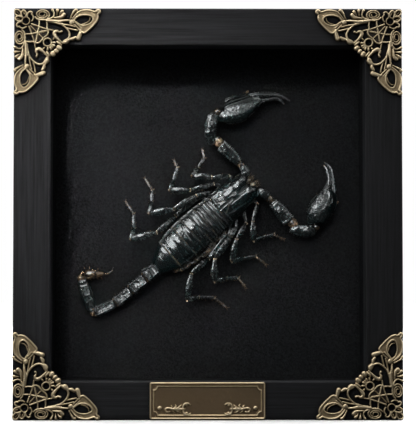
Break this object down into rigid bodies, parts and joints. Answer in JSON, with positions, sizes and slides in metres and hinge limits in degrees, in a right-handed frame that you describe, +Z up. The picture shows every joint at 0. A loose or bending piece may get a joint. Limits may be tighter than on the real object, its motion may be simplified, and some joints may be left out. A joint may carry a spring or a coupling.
{
  "type": "framed scorpion specimen",
  "caption": "Dried scorpion on a black lined board, in a glazed black wood box frame with antique brass filigree corners and a bare brass nameplate.",
  "frame": {"origin": "middle of the footprint, on the surface that the frame stands on", "axes": "the frame faces -Y, +X is to the right seen from the front, +Z is up"},
  "size_m": [0.19, 0.0376, 0.201],
  "materials": {
    "wood": "black stain, satin, open fine grain",
    "glass": "clear, flat",
    "spacer": "matt black",
    "lining": "matt black, fine grain",
    "filigree": "antique, dark in the hollows",
    "plate": "antique, dark field and bright rim",
    "cuticle": "stands in for cuticle: dark teal black, glossy, finely grained",
    "legs": "stands in for cuticle: dark grey, satin, tan at the joints",
    "jaws": "stands in for cuticle: yellow tan",
    "sting": "stands in for cuticle: glossy brown"
  },
  "bodies": {
    "root": {"rail_top": "wood", "rail_bottom": "wood", "rail_left": "wood", "rail_right": "wood", "glass_pane": "glass", "spacer_top": "spacer", "spacer_bottom": "spacer", "spacer_left": "spacer", "spacer_right": "spacer", "backing_board": "lining", "corner_top_left": "filigree", "corner_top_right": "filigree", "corner_bottom_left": "filigree", "corner_bottom_right": "filigree", "nameplate": "plate", "carapace": "cuticle", "chelicera_left": "jaws", "chelicera_right": "jaws", "abdomen": "cuticle", "tail": "cuticle", "telson": "sting", "arm_left": "cuticle", "arm_right": "cuticle", "claw_left": "cuticle", "claw_right": "cuticle", "finger_left": "cuticle", "finger_right": "cuticle", "leg_left_1": "legs", "leg_left_2": "legs", "leg_left_3": "legs", "leg_left_4": "legs", "leg_right_1": "legs", "leg_right_2": "legs", "leg_right_3": "legs", "leg_right_4": "legs"}
  },
  "joints": []
}
